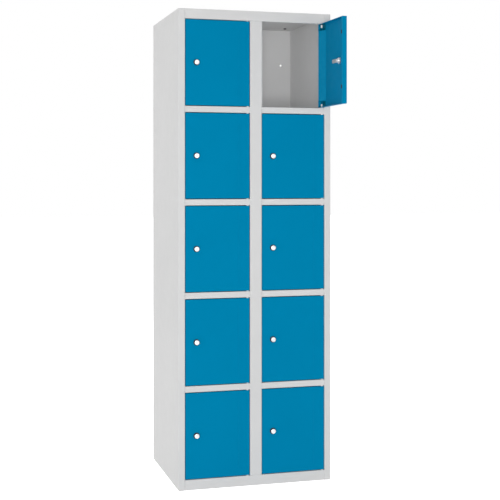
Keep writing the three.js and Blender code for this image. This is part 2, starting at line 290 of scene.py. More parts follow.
def fold(piece, move, mitre=None, **where):
    """Fold a flange off the edges that lie where asked. A mitre draws in its ends along one axis."""
    pick(piece, **where)
    bpy.ops.mesh.extrude_edges_move(TRANSFORM_OT_translate={"value": move})
    if mitre:
        axis, amount = mitre
        mesh = bmesh.from_edit_mesh(piece.data)
        ends = [v.co for v in mesh.verts if v.select]
        centre = sum(ends, Vector()) / len(ends)
        span = max(getattr(v, axis) for v in ends) - min(getattr(v, axis) for v in ends)
        value = [1 - 2 * amount / span if axis == each else 1 for each in "xyz"]
        bpy.ops.transform.resize(value=value, center_override=centre)


def split(piece, axis, value):
    """Cut an edge line across the sheet, so that part of a border can be folded."""
    bpy.ops.mesh.select_all(action="SELECT")
    normal = [1 if axis == each else 0 for each in "xyz"]
    bpy.ops.mesh.bisect(plane_co=[value * n for n in normal], plane_no=normal)


def round_folds(piece, radius=None):
    """Round every fold to the bend radius."""
    bpy.ops.mesh.select_mode(type="EDGE")
    bpy.ops.mesh.select_all(action="DESELECT")
    mesh = bmesh.from_edit_mesh(piece.data)
    for edge in mesh.edges:
        folded = len(edge.link_faces) == 2 and edge.calc_face_angle() > math.radians(50)
        edge.select_set(folded)
    bmesh.update_edit_mesh(piece.data)
    bpy.ops.mesh.bevel(
        offset=radius or sizes().bend, offset_type="OFFSET", segments=sizes().bend_steps,
        affect="EDGES", clamp_overlap=True)


def face_outwards(piece):
    """Mend the normals of a closed piece that was mirrored."""
    only(piece)
    bpy.ops.object.mode_set(mode="EDIT")
    bpy.ops.mesh.select_all(action="SELECT")
    bpy.ops.mesh.normals_make_consistent(inside=False)
    bpy.ops.object.mode_set(mode="OBJECT")


def thicken(piece, outward, thickness=None):
    """Turn the folded skin into sheet, with the wall on its inner side."""
    bpy.ops.mesh.select_all(action="SELECT")
    bpy.ops.mesh.remove_doubles(threshold=1e-6)
    bpy.ops.mesh.normals_make_consistent(inside=False)
    mesh = bmesh.from_edit_mesh(piece.data)
    largest = max(mesh.faces, key=lambda face: face.calc_area())
    if largest.normal.dot(Vector(outward)) < 0:
        bpy.ops.mesh.flip_normals()
    bpy.ops.object.mode_set(mode="OBJECT")
    modifier = piece.modifiers.new("Wall", "SOLIDIFY")
    modifier.thickness = thickness or sizes().sheet
    modifier.offset = -1
    modifier.use_even_offset = True
    bpy.ops.object.modifier_apply(modifier=modifier.name)
    mark_folds(piece)


def mark_folds(piece):
    """Note which faces belong to a fold, where the coat is a little thinner."""
    marks = piece.data.attributes.new("fold", "FLOAT", "FACE")
    for face, mark in zip(piece.data.polygons, marks.data):
        mark.value = 0.0 if max(abs(n) for n in face.normal) > 0.999 else 1.0


def smooth(piece, angle=35):
    only(piece)
    bpy.ops.object.shade_smooth_by_angle(angle=math.radians(angle))
    modifier = piece.modifiers.new("Normals", "WEIGHTED_NORMAL")
    modifier.keep_sharp = True
    modifier.weight = 100
    bpy.ops.object.modifier_apply(modifier=modifier.name)


def soften(piece, width, segments=2, angle=40):
    """Take the sharpness off the edges of a solid piece."""
    only(piece)
    modifier = piece.modifiers.new("Edges", "BEVEL")
    modifier.width = width
    modifier.segments = segments
    modifier.limit_method = "ANGLE"
    modifier.angle_limit = math.radians(angle)
    bpy.ops.object.modifier_apply(modifier=modifier.name)


def fit_up(piece, body, slot, material, *nodes):
    """Shade, paint and mount a finished piece."""
    smooth(piece)
    piece.data.materials.clear()
    piece.data.materials.append(material)
    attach(piece, body)
    if nodes:
        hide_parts(*nodes)


def copy_at(piece, name, matrix):
    """A copy with its own mesh, moved into place."""
    twin = piece.copy()
    twin.data = piece.data.copy()
    twin.name = name
    bpy.context.scene.collection.objects.link(twin)
    twin.matrix_world = matrix
    return settle(twin)


def turned(name, profile, sides=48):
    """A solid of revolution about its own Z, from one end cap to the other."""
    radius, height = profile[0]
    clear()
    bpy.ops.mesh.primitive_circle_add(
        vertices=sides, radius=radius, fill_type="NGON", location=(0, 0, height))
    piece = settle(bpy.context.object)
    piece.name = name
    bpy.ops.object.mode_set(mode="EDIT")
    bpy.ops.mesh.select_mode(type="FACE")
    bpy.ops.mesh.select_all(action="SELECT")
    for next_radius, next_height in profile[1:]:
        bpy.ops.mesh.extrude_region_move(
            TRANSFORM_OT_translate={"value": (0, 0, next_height - height)})
        ratio = next_radius / radius
        bpy.ops.transform.resize(
            value=(ratio, ratio, 1), center_override=(0, 0, next_height))
        radius, height = next_radius, next_height
    bpy.ops.mesh.select_all(action="SELECT")
    bpy.ops.mesh.remove_doubles(threshold=1e-7)
    bpy.ops.mesh.normals_make_consistent(inside=False)
    bpy.ops.object.mode_set(mode="OBJECT")
    return piece


def pivot_matrix(body):
    """Where a door's own frame is: on its pivot axis at mid-height, turned as it stands at rest."""
    joint = JOINTS[body]
    turn = -math.radians(joint["range_deg"][0])
    return Matrix.Translation(joint["pos_m"]) @ Matrix.Rotation(turn, 4, "Z")


def lock_matrix(compartment):
    """A lock's own frame: on its axis at the door's face, with Z out of the face."""
    pattern = Vector(JOINTS[f"lock_{PATTERN}"]["pos_m"]) - Vector(JOINTS[f"door_{PATTERN}"]["pos_m"])
    outward = Matrix.Rotation(math.pi / 2, 4, "X")
    return pivot_matrix(f"door_{compartment}") @ Matrix.Translation(pattern) @ outward


# ---------------------------------------------------------------- finishes


def start_material(name, roughness, metallic=0.0):
    material = bpy.data.materials.get(name)
    if material:
        return material, None
    material = bpy.data.materials.new(name)
    material.use_nodes = True
    shader = material.node_tree.nodes["Principled BSDF"]
    shader.inputs["Roughness"].default_value = roughness
    shader.inputs["Metallic"].default_value = metallic
    return material, shader


def add_node(shader, kind, settings=None, inputs=None):
    node = shader.id_data.nodes.new(kind)
    for key, value in (settings or {}).items():
        setattr(node, key, value)
    for key, value in (inputs or {}).items():
        if isinstance(value, bpy.types.NodeSocket):
            shader.id_data.links.new(value, node.inputs[key])
        else:
            node.inputs[key].default_value = value
    return node


def noise(shader, scale, detail=2.0, stretch=(1, 1, 1)):
    """Noise fixed to the object, at so many waves a metre."""
    place = add_node(shader, "ShaderNodeTexCoord").outputs["Object"]
    mapping = add_node(shader, "ShaderNodeMapping", inputs={"Vector": place, "Scale": stretch})
    texture = add_node(shader, "ShaderNodeTexNoise", inputs={
        "Vector": mapping.outputs["Vector"], "Scale": scale, "Detail": detail})
    return texture.outputs["Fac"]


def spread(shader, value, low, high, source=(0.3, 0.7)):
    """Map the useful part of a noise to a range."""
    node = add_node(shader, "ShaderNodeMapRange", inputs={
        "Value": value, "From Min": source[0], "From Max": source[1], "To Min": low, "To Max": high})
    return node.outputs["Result"]


def blend_colours(shader, amount, first, second):
    node = add_node(shader, "ShaderNodeMix", settings={"data_type": "RGBA"})
    links = shader.id_data.links
    factor, a, b = node.inputs[0], node.inputs[6], node.inputs[7]
    for socket, value in ((factor, amount), (a, first), (b, second)):
        if isinstance(value, bpy.types.NodeSocket):
            links.new(value, socket)
        else:
            socket.default_value = value
    return node.outputs[2]


def add_bumps(shader, *layers):
    """Stack bumps, each a height socket and its depth in metres."""
    normal = None
    for height, depth in layers:
        inputs = {"Height": height, "Distance": depth, "Strength": 1.0}
        if normal:
            inputs["Normal"] = normal
        normal = add_node(shader, "ShaderNodeBump", inputs=inputs).outputs["Normal"]
    shader.id_data.links.new(normal, shader.inputs["Normal"])


def shade_of(rgb, factor):
    return (*[min(1.0, channel * factor) for channel in rgb], 1.0)


def powder_coat(name, rgb, thin, gloss=0.2, sheen_tint=(1, 1, 1)):
    """Satin powder coat: orange peel, a slow wave in the sheet, and a thinner coat on the folds."""
    material, shader = start_material(name, 0.45)
    if not shader:
        return material
    links = shader.id_data.links
    cloud = noise(shader, 7.0, 3.0)
    speck = noise(shader, 420.0, 2.0)
    peel = noise(shader, 560.0, 1.0)
    wave = noise(shader, 5.0, 1.0, (1, 1, 0.6))
    coat = blend_colours(shader, spread(shader, cloud, 0, 1), shade_of(rgb, 0.988), shade_of(rgb, 1.01))
    coat = blend_colours(shader, spread(shader, speck, 0, 0.05, (0.5, 0.8)), coat, shade_of(rgb, 0.8))
    mark = add_node(shader, "ShaderNodeAttribute", settings={"attribute_name": "fold"}).outputs["Fac"]
    rub = add_node(shader, "ShaderNodeMath", settings={"operation": "MULTIPLY"})
    links.new(mark, rub.inputs[0])
    links.new(spread(shader, noise(shader, 60.0, 4.0), 0.1, 0.6), rub.inputs[1])
    coat = blend_colours(shader, rub.outputs[0], coat, thin)
    links.new(coat, shader.inputs["Base Color"])
    links.new(spread(shader, noise(shader, 30.0, 3.0), 0.40, 0.52), shader.inputs["Roughness"])
    shader.inputs["Specular IOR Level"].default_value = gloss
    shader.inputs["Specular Tint"].default_value = (*sheen_tint, 1)
    add_bumps(shader, (wave, 0.0004), (peel, 0.00006))
    return material


def body_paint():
    rgb = colours().body
    return powder_coat("light_grey_powder_coat", rgb, shade_of(rgb, 1.12))


def door_paint():
    rgb = colours().door
    return powder_coat("blue_powder_coat", rgb, (0.01, 0.26, 0.46, 1.0), 0.04, (0.02, 0.6, 1.0))


def bright_metal(name, rgb, roughness, grain):
    """Plated metal with fine turning or rolling marks."""
    material, shader = start_material(name, roughness, 1.0)
    if not shader:
        return material
    links = shader.id_data.links
    lines = noise(shader, 300.0, 2.0, grain)
    cloud = noise(shader, 90.0, 3.0)
    tone = blend_colours(shader, spread(shader, cloud, 0, 1), shade_of(rgb, 0.9), shade_of(rgb, 1.05))
    links.new(tone, shader.inputs["Base Color"])
    links.new(spread(shader, lines, roughness * 0.7, roughness * 1.4), shader.inputs["Roughness"])
    add_bumps(shader, (lines, 0.00001))
    return material


def plate_metal():
    return bright_metal("bright_lock_plate", colours().plate, 0.42, (1, 1, 1))


def zinc_metal():
    return bright_metal("zinc_plate", colours().zinc, 0.48, (1, 1, 6))


def moulded(name, rgb, roughness, depth):
    """Moulded plastic or rubber with a fine spark texture."""
    material, shader = start_material(name, roughness)
    if not shader:
        return material
    links = shader.id_data.links
    cloud = noise(shader, 150.0, 3.0)
    tone = blend_colours(shader, spread(shader, cloud, 0, 1), shade_of(rgb, 0.9), shade_of(rgb, 1.06))
    links.new(tone, shader.inputs["Base Color"])
    links.new(spread(shader, cloud, roughness - 0.06, roughness + 0.08), shader.inputs["Roughness"])
    add_bumps(shader, (noise(shader, 2200.0, 1.0), depth))
    return material


def nylon():
    return moulded("white_nylon", colours().nylon, 0.45, 0.00001)


# Painted shade: a dark blue coat for the hinge brackets, standing in for the shade in the doors' hinge
# corners.
def bracket_shade_paint():
    rgb = colours().bracket
    return powder_coat("dark_blue_powder_coat", rgb, shade_of(rgb, 1.3), 0.04, (0.02, 0.6, 1.0))


def rubber():
    return moulded("black_rubber", colours().rubber, 0.7, 0.00003)


# ---------------------------------------------------------------- operators


class LOCKER_OT_sides(bpy.types.Operator):
    """Fold the two side panels, each with its stile, return, stop lip and foot"""

    bl_idname = "locker.sides"
    bl_label = "Side Panels"

    def execute(self, context):
        for side, inward, outer in (("left", 1, LEFT), ("right", -1, RIGHT)):
            self.side(side, inward, outer)
        return {"FINISHED"}

    def side(self, side, inward, outer):
        size = sizes()
        low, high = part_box(f"{side}_side")
        inner = high.x if inward > 0 else low.x
        stile = abs(inner - outer) - size.stop_lip
        depth = STOP_BACK - size.sheet - FRONT
        piece = plate(f"{side}_side_sheet", (outer, FRONT, 0), (outer, BACK, TOP))
        start_folding(piece)
        fold(piece, (inward * stile, 0, 0), x=outer, y=FRONT)
        edge = outer + inward * stile
        fold(piece, (0, depth, 0), mitre=("z", 2 * size.sheet), x=edge, y=FRONT)
        fold(piece, (inward * size.stop_lip, 0, 0), x=edge, y=FRONT + depth)
        fold(piece, (inward * size.flange, 0, 0), mitre=("y", size.sheet), x=outer, z=0)
        round_folds(piece)
        thicken(piece, (-inward, 0, 0))
        rows = (FRONT + 0.060, BACK - 0.050)
        heights = [TOP / 2 + offset for offset in (-0.553, -0.435, -0.293, 0, 0.293, 0.435, 0.553)]
        cut(piece, [drill_bit((outer, y, z), size.side_hole, "x", sides=24) for y in rows for z in heights])
        fit_up(piece, "cabinet", "body_paint", body_paint(), f"{side}_side")


class LOCKER_OT_back(bpy.types.Operator):
    """Fold the back panel and drill its wall-fixing holes"""

    bl_idname = "locker.back"
    bl_label = "Back Panel"

    def execute(self, context):
        size = sizes()
        low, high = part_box("back_panel")
        piece = plate("back_panel_sheet", (low.x, high.y, low.z), (high.x, high.y, high.z))
        start_folding(piece)
        for x in (low.x, high.x):
            fold(piece, (0, low.y - high.y, 0), mitre=("z", size.sheet), x=x, y=high.y)
        round_folds(piece)
        thicken(piece, (0, 1, 0))
        holes = [(side * (RIGHT - 0.046), high.y, TOP - 0.150) for side in (-1, 1)]
        cut(piece, [drill_bit(hole, size.wall_hole, "y", sides=32) for hole in holes])
        fit_up(piece, "cabinet", "body_paint", body_paint(), "back_panel")
        return {"FINISHED"}


def fold_tray(piece, low, high, top):
    """Turn down the flanges at the sides and back of a tray whose flat lies at the height top."""
    size = sizes()
    ends = ("y", size.sheet)
    for x in (low[0], high[0]):
        fold(piece, (0, 0, -size.flange), mitre=ends, x=x, z=top)
    fold(piece, (0, 0, -size.flange), mitre=("x", 1.5 * size.sheet), y=high[1], z=top)


def fold_rail(piece, span, bottom, top):
    """Fold a rail down from the front edge of a tray, then back and up inside."""
    size = sizes()
    fold(piece, (0, 0, bottom - top), y=FRONT, x=span, z=top)
    fold(piece, (0, STOP_BACK - FRONT, 0), y=FRONT, x=span, z=bottom)
    fold(piece, (0, 0, size.rail_lip), y=STOP_BACK, x=span, z=bottom)


def stop_lips():
    """The spans across the cabinet that the four stop lips take."""
    size = sizes()
    side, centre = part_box("right_side")[0].x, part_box("centre_stile")[1].x
    width = size.stop_lip + size.sheet
    near, far = (centre - width, centre), (side, side + width)
    return [(-far[1], -far[0]), (-near[1], -near[0]), near, far]


def notch_for_lips(piece, bottom, top):
    size = sizes()
    room = 0.8 * size.joint
    y = (STOP_BACK - size.sheet - room, STOP_BACK + room)
    low, high = piece.bound_box[0][0], piece.bound_box[6][0]
    bricks = []
    for start, end in stop_lips():
        if end > low and start < high:
            bricks.append(brick((start - room, y[0], bottom - 0.001), (end + room, y[1], top + 0.001)))
    return cut(piece, bricks)


class LOCKER_OT_roof(bpy.types.Operator):
    """Fold the roof with the top rail and fit its two plugs"""

    bl_idname = "locker.roof"
    bl_label = "Roof"

    def execute(self, context):
        size = sizes()
        low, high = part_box("roof")
        front = FRONT + size.sheet + 4 * size.joint
        rear = BACK - size.sheet - size.joint
        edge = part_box("right_side")[0].x + size.stop_lip - size.joint
        piece = plate("roof_sheet", (low.x, front, TOP), (high.x, rear, TOP))
        start_folding(piece)
        for x in (-edge, edge):
            split(piece, "x", x)
        fold_tray(piece, (low.x, front), (high.x, rear), TOP)
        fold(piece, (0, FRONT - front, 0), y=front, x=(-edge, edge), z=TOP)
        fold_rail(piece, (-edge, edge), low.z, TOP)
        round_folds(piece)
        thicken(piece, (0, 0, 1))
        plugs = [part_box(f"roof_plug_{side}") for side in COLUMNS]
        middles = [(a + b) / 2 for a, b in plugs]
        cut(piece, [drill_bit((m.x, m.y, TOP), 0.0065, "z", sides=40) for m in middles])
        fit_up(piece, "cabinet", "body_paint", body_paint(), "roof")
        self.plugs(middles)
        return {"FINISHED"}

    def plugs(self, middles):
        pattern = turned("roof_plug", [
            (0.0040, -0.0040), (0.0055, -0.0040), (0.0062, -0.0030), (0.0062, 0.0003),
            (0.0090, 0.0003), (0.0088, 0.0012), (0.0078, 0.0018), (0.0010, 0.0018)])
        for side, middle in zip(COLUMNS, middles):
            plug = copy_at(pattern, f"roof_plug_{side}_cap", Matrix.Translation((middle.x, middle.y, TOP)))
            fit_up(plug, "cabinet", "plug_plastic", rubber(), f"roof_plug_{side}")
        bpy.data.objects.remove(pattern)


class LOCKER_OT_floor(bpy.types.Operator):
    """Fold the floor pan with the bottom rail and its foot"""

    bl_idname = "locker.floor_pan"
    bl_label = "Floor Pan"

    def execute(self, context):
        size = sizes()
        low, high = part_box("floor_pan")
        front = STOP_BACK + size.joint
        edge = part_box("right_side")[0].x + size.stop_lip - size.joint
        piece = plate("floor_pan_sheet", (low.x, front, high.z), (high.x, high.y, high.z))
        start_folding(piece)
        for x in (-edge, edge):
            split(piece, "x", x)
        fold_tray(piece, (low.x, front), (high.x, high.y), high.z)
        fold(piece, (0, FRONT - front, 0), y=front, x=(-edge, edge), z=high.z)
        fold(piece, (0, 0, -high.z), y=FRONT, x=(-edge, edge), z=high.z)
        fold(piece, (0, size.flange, 0), y=FRONT, x=(-edge, edge), z=0)
        round_folds(piece)
        thicken(piece, (0, 0, 1))
        notch_for_lips(piece, high.z - 0.002, high.z)
        fit_up(piece, "cabinet", "body_paint", body_paint(), "floor_pan")
        return {"FINISHED"}


class LOCKER_OT_stile(bpy.types.Operator):
    """Fold the centre stile, a hat section whose brims stop the doors"""

    bl_idname = "locker.stile"
    bl_label = "Centre Stile"

    def execute(self, context):
        size = sizes()
        low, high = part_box("centre_stile")
        half = high.x - size.stop_lip
        depth = STOP_BACK - size.sheet - FRONT
        piece = plate("centre_stile_sheet", (-half, FRONT, low.z), (half, FRONT, high.z))
        start_folding(piece)
        for side in (-1, 1):
            fold(piece, (0, depth, 0), x=side * half, y=FRONT)
            fold(piece, (side * size.stop_lip, 0, 0), x=side * half, y=FRONT + depth)
        round_folds(piece)
        thicken(piece, (0, -1, 0))
        fit_up(piece, "cabinet", "body_paint", body_paint(), "centre_stile")
        return {"FINISHED"}


class LOCKER_OT_shelves(bpy.types.Operator):
    """Fold the shelves, each with the rail between two doors"""

    bl_idname = "locker.shelves"
    bl_label = "Shelves"

    def execute(self, context):
        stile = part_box("centre_stile")[1].x - sizes().stop_lip
        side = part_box("right_side")[0].x + sizes().stop_lip
        for column, span in (("left", (-side, -stile)), ("right", (stile, side))):
            self.shelf(column, span)
        return {"FINISHED"}

    def shelf(self, column, opening):
        size = sizes()
        low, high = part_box(f"shelf_{column}_1")
        front = STOP_BACK + size.joint
        span = (opening[0] + size.joint, opening[1] - size.joint)
        pattern = plate(f"shelf_{column}", (low.x, front, high.z), (high.x, high.y, high.z))
        start_folding(pattern)
        for x in span:
            split(pattern, "x", x)
        fold_tray(pattern, (low.x, front), (high.x, high.y), high.z)
        fold(pattern, (0, FRONT - front, 0), y=front, x=span, z=high.z)
        fold_rail(pattern, span, low.z, high.z)
        round_folds(pattern)
        thicken(pattern, (0, 0, 1))
        notch_for_lips(pattern, low.z, high.z)
        for tier in TIERS[:-1]:
            node = f"shelf_{column}_{tier}"
            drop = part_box(node)[0].z - low.z
            shelf = copy_at(pattern, f"{node}_sheet", Matrix.Translation((0, 0, drop)))
            fit_up(shelf, "cabinet", "body_paint", body_paint(), node)
        bpy.data.objects.remove(pattern)


class LOCKER_OT_doors(bpy.types.Operator):
    """Fold one door pan and hang a copy on every pivot"""

    bl_idname = "locker.doors"
    bl_label = "Doors"

    def execute(self, context):
        size = sizes()
        node = f"door_{PATTERN}"
        pivot = Vector(JOINTS[node]["pos_m"])
        low, high = (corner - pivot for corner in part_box(node))
        pattern = plate("door_pan", (low.x, low.y, low.z), (high.x, low.y, high.z))
        start_folding(pattern)
        pick(pattern, y=low.y)
        bpy.ops.mesh.extrude_edges_move(TRANSFORM_OT_translate={"value": (0, high.y - low.y, 0)})
        fold(pattern, (size.door_lip, 0, 0), mitre=("z", 3 * size.sheet), x=low.x, y=high.y)
        reach = high.z - size.stiffener_end
        for z in (-reach, reach):
            split(pattern, "z", z)
        seat = low.y + 0.6 * size.sheet
        fold(pattern, (-size.stiffener, seat - high.y, 0), x=high.x, y=high.y, z=(-reach, reach))
        round_folds(pattern)
        thicken(pattern, (0, -1, 0))
        lock = Vector(JOINTS[f"lock_{PATTERN}"]["pos_m"]) - pivot
        bits = [drill_bit((lock.x, low.y, 0), size.bore, "y", sides=48)]
        bits += [drill_bit((0, 0, z), PIN_HOLE, "z", sides=32) for z in (low.z, high.z)]
        cut(pattern, bits)
        for compartment in COMPARTMENTS:
            node = f"door_{compartment}"
            door = copy_at(pattern, f"{node}_pan", pivot_matrix(node))
            fit_up(door, node, "door_paint", door_paint(), node)
        bpy.data.objects.remove(pattern)
        return {"FINISHED"}


class LOCKER_OT_brackets(bpy.types.Operator):
    """Fold the brackets that line the hinge corners of every door, dark blue as painted shade for those
    corners
    """

    bl_idname = "locker.brackets"
    bl_label = "Hinge Brackets"

    def execute(self, context):
        size = sizes()
        node = f"door_{PATTERN}"
        low, high = (corner - Vector(JOINTS[node]["pos_m"]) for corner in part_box(node))
        play = size.sheet + BRACKET_PLAY
        right, front, top = high.x - play, low.y + play, high.z - play
        left, rear = right - BRACKET_WIDTH, high.y - BRACKET_SETBACK
        ear = (0, 0, -BRACKET_EAR)
        pattern = plate("bracket", (left, front, top), (right, rear, top))
        start_folding(pattern)
        split(pattern, "x", BRACKET_CORNER)
        fold(pattern, ear, mitre=("y", BRACKET_MITRE), x=right, z=top)
        fold(pattern, ear, mitre=("x", BRACKET_MITRE), y=front, x=(left, BRACKET_CORNER), z=top)
        round_folds(pattern, BRACKET_BEND)
        thicken(pattern, (0, 0, 1), BRACKET_SHEET)
        cut(pattern, [drill_bit((0, 0, top), BRACKET_HOLE, "z", sides=32)])
        flip = Matrix.Diagonal((1, 1, -1, 1))
        for compartment in COMPARTMENTS:
            node = f"door_{compartment}"
            for place, turn in (("upper", Matrix()), ("lower", flip)):
                name = f"bracket_{compartment}_{place}"
                bracket = copy_at(pattern, name, pivot_matrix(node) @ turn)
                if turn is flip:
                    face_outwards(bracket)
                # The brackets' dark coat is painted shade for the hinge corners.
                fit_up(bracket, node, "door_paint", bracket_shade_paint())
        bpy.data.objects.remove(pattern)
        return {"FINISHED"}


class LOCKER_OT_buffers(bpy.types.Operator):
    """Set two rubber buffers on the closing lip of every door"""

    bl_idname = "locker.buffers"
    bl_label = "Buffers"

    def execute(self, context):
        node = f"door_{PATTERN}"
        low, high = (corner - Vector(JOINTS[node]["pos_m"]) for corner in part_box(node))
        clear()
        bpy.ops.mesh.primitive_cube_add(size=1)
        pattern = fit(bpy.context.object, (0, 0, 0), BUFFER_SIZE)
        soften(pattern, BUFFER_ROUND, 4)
        height = high.z - low.z
        for compartment in COMPARTMENTS:
            node = f"door_{compartment}"
            for place, share in BUFFER_PLACES:
                spot = (low.x + BUFFER_INSET, high.y + BUFFER_STAND_OFF, low.z + share * height)
                matrix = pivot_matrix(node) @ Matrix.Translation(spot)
                buffer = copy_at(pattern, f"buffer_{compartment}_{place}", matrix)
                fit_up(buffer, node, "plug_plastic", rubber())
        bpy.data.objects.remove(pattern)
        return {"FINISHED"}


class LOCKER_OT_hinges(bpy.types.Operator):
    """Fit the steel pivot pins and the nylon bushes on their ends"""

    bl_idname = "locker.hinges"
    bl_label = "Pivot Pins"

    def execute(self, context):
        nodes = [name for name in frame["nodes"] if name.startswith("hinge_pin_")]
        for node in sorted(nodes):
            self.pin(node)
        return {"FINISHED"}

    def pin(self, node):
        low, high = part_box(node)
        middle = (low + high) / 2
        first, last = node.endswith("_1"), node.endswith("_6")
        base = middle.x, middle.y
        rail = self.rail(node, first, last)
        ends = []
        if not last:
            ends.append(("lower", rail[0], -1, low.z))
        if not first:
            ends.append(("upper", rail[1], 1, high.z))
        for place, face, way, tip in ends:
            self.bush(f"{node}_bush_{place}", base, face, way, tip)
        steel = turned(f"{node}_steel", [
            (0.0018, low.z + 0.001), (0.0025, low.z + 0.0017),
            (0.0025, high.z - 0.0017), (0.0018, high.z - 0.001)], 24)
        bpy.ops.transform.translate(value=(*base, 0))
        settle(steel)
        fit_up(steel, "cabinet", "cam_zinc", zinc_metal(), node)

    def rail(self, node, first, last):
        """The lower and upper face of the rail that a pin passes through."""
        if first:
            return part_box("roof")[0].z, TOP
        if last:
            return 0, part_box("floor_pan")[1].z
        column, number = node.split("_")[-2:]
        low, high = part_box(f"shelf_{column}_{int(number) - 1}")
        return low.z, high.z

    def bush(self, name, base, face, way, tip):
        size = sizes()
        reach = abs(tip - face)
        gap = 0.0003
        bush = turned(name, [
            (size.collar - 0.0004, gap), (size.collar, gap + 0.0004), (size.collar, gap + 0.0014),
            (size.collar - 0.0002, gap + 0.0016), (0.0035, gap + 0.0016), (0.0035, reach - 0.0005),
            (0.0030, reach)], 32)
        if way < 0:
            bpy.ops.transform.rotate(value=math.pi, orient_axis="X", center_override=(0, 0, 0))
        bpy.ops.transform.translate(value=(*base, face))
        settle(bush)
        fit_up(bush, "cabinet", "hinge_nylon", nylon())


class LOCKER_OT_locks(bpy.types.Operator):
    """Turn the cam locks: ring, head, sleeve, plug, cam and screw"""

    bl_idname = "locker.locks"
    bl_label = "Cam Locks"

    def execute(self, context):
        node = f"lock_housing_{PATTERN}"
        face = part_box(f"door_{PATTERN}")[0].y
        low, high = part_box(node)
        head = face - low.y
        rear = face - high.y
        patterns = {
            # The ring's black is partly painted shade round the lock head.
            "ring": (self.ring(head), rubber, "plug_plastic", False),
            "head": (self.head(head, rear), plate_metal, "lock_chrome", False),
            "sleeve": (self.sleeve(), plate_metal, "lock_chrome", False),
            "plug": (self.plug(head), plate_metal, "lock_chrome", True),
            "cam": (self.cam(rear), zinc_metal, "cam_zinc", True),
            "screw": (self.screw(rear), zinc_metal, "cam_zinc", True),
        }
        for compartment in COMPARTMENTS:
            for part, (pattern, material, slot, turns) in patterns.items():
                body = f"lock_{compartment}" if turns else f"door_{compartment}"
                nodes = {"head": [f"lock_housing_{compartment}"], "cam": [f"lock_cam_{compartment}"]}
                piece = copy_at(pattern, f"lock_{compartment}_{part}", lock_matrix(compartment))
                fit_up(piece, body, slot, material(), *nodes.get(part, []))
        for entry in patterns.values():
            bpy.data.objects.remove(entry[0])
        return {"FINISHED"}

    # The ring is a real bezel, partly painted shade: its black stands in for the shade round the foot of
    # the lock head.
    def ring(self, head):
        return turned("lock_ring", [
            (0.0120, 0.0000), (0.0120, 0.0008), (0.0114, 0.0015), (0.0094, 0.0017),
            (0.0092, 0.0022), (0.0092, head - 0.0017), (0.0089, head - 0.0013)])

    def head(self, head, rear):
        crest, root, pitch = THREAD_CREST, THREAD_ROOT, THREAD_PITCH
        profile = [(root, rear)]
        turns = int((THREAD_END - rear) / pitch)
        for turn in range(turns):
            start = rear + turn * pitch
            profile += [
                (crest, start + 0.35 * pitch), (crest, start + 0.5 * pitch),
                (root, start + 0.95 * pitch)]
        profile += [
            (crest, -0.0010), (crest, 0.0010), (0.0090, 0.0014), (0.0090, head - 0.0012),
            (0.0087, head - 0.0004), (0.0080, head), (0.0064, head), (0.0062, head - 0.0004),
            (0.0062, head - 0.0012)]
        return turned("lock_head", profile, 56)

    def sleeve(self):
        return turned("lock_sleeve", [
            (0.0104, -0.0013), (0.01125, -0.0019), (0.01125, -0.0052), (0.01085, -0.0056),
            (0.01085, -0.0064), (0.01125, -0.0068), (0.01125, -0.0166), (0.0106, -0.0173),
            (0.0088, -0.0173), (0.0082, -0.0168)], 48)

    def plug(self, head):
        plug = turned("lock_plug", [
            (0.0056, head - 0.0030), (0.0056, head - 0.0006), (0.0053, head - 0.0003),
            (0.0020, head - 0.0003)], 40)
        slot = brick((-0.0005, -0.0034, head - 0.0022), (0.0005, 0.0034, head + 0.001))
        wing = brick((-0.0012, -0.0014, head - 0.0022), (0.0012, 0.0010, head + 0.001))
        cut(plug, [slot])
        return cut(plug, [wing])

    def cam(self, rear):
        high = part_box(f"lock_cam_{PATTERN}")[1]
        axis = JOINTS[f"lock_{PATTERN}"]["pos_m"][0]
        half = CAM_WIDTH / 2
        top = rear - 0.0003
        cam = brick((-half, -half, top - CAM_THICKNESS), (high.x - axis, half, top))
        start_folding(cam)
        for x in (-half, high.x - axis):
            pick(cam, x=x, y=-half)
            pick_more(cam, x=x, y=half)
            bpy.ops.mesh.bevel(offset=half - 0.0002, offset_type="OFFSET", segments=8, affect="EDGES")
        bpy.ops.object.mode_set(mode="OBJECT")
        soften(cam, 0.0004, 2)
        return cam

    def screw(self, rear):
        top = rear - 0.0003 - CAM_THICKNESS
        return turned("lock_screw", [
            (0.0062, top), (0.0062, top - 0.0007), (0.0040, top - 0.0007), (0.0040, top - 0.0018),
            (0.0034, top - 0.0020)], 36)


class LOCKER_OT_inner_sheets(bpy.types.Operator):
    """Paint the sheets that stay as the frame gives them"""

    bl_idname = "locker.inner_sheets"
    bl_label = "Inner Sheets"

    def execute(self, context):
        for node in ("centre_partition", "base_channel"):
            piece = frame["nodes"][node]
            piece.data.materials.clear()
            piece.data.materials.append(body_paint())
        return {"FINISHED"}


SOFT_BOXES = (
    ("front", 13, 5.2, 1.00, 1.0, 86),
    ("front_left", 46, 5.0, 1.1, 1.6, 18),
    ("left", 110, 4.4, 1.0, 2.4, 58),
    ("right", -100, 4.4, 1.6, 2.0, 30),
    ("rear", -160, 4.6, 1.8, 2.4, 60),
    ("top", 5, 0.5, 4.6, 3.6, 24),
)
FILL_POWER = 0.18
WORLD_LEVEL = 0.33
WORLD_IN_GLOSS = 0.75
FLOOR_GLOW = 0.36


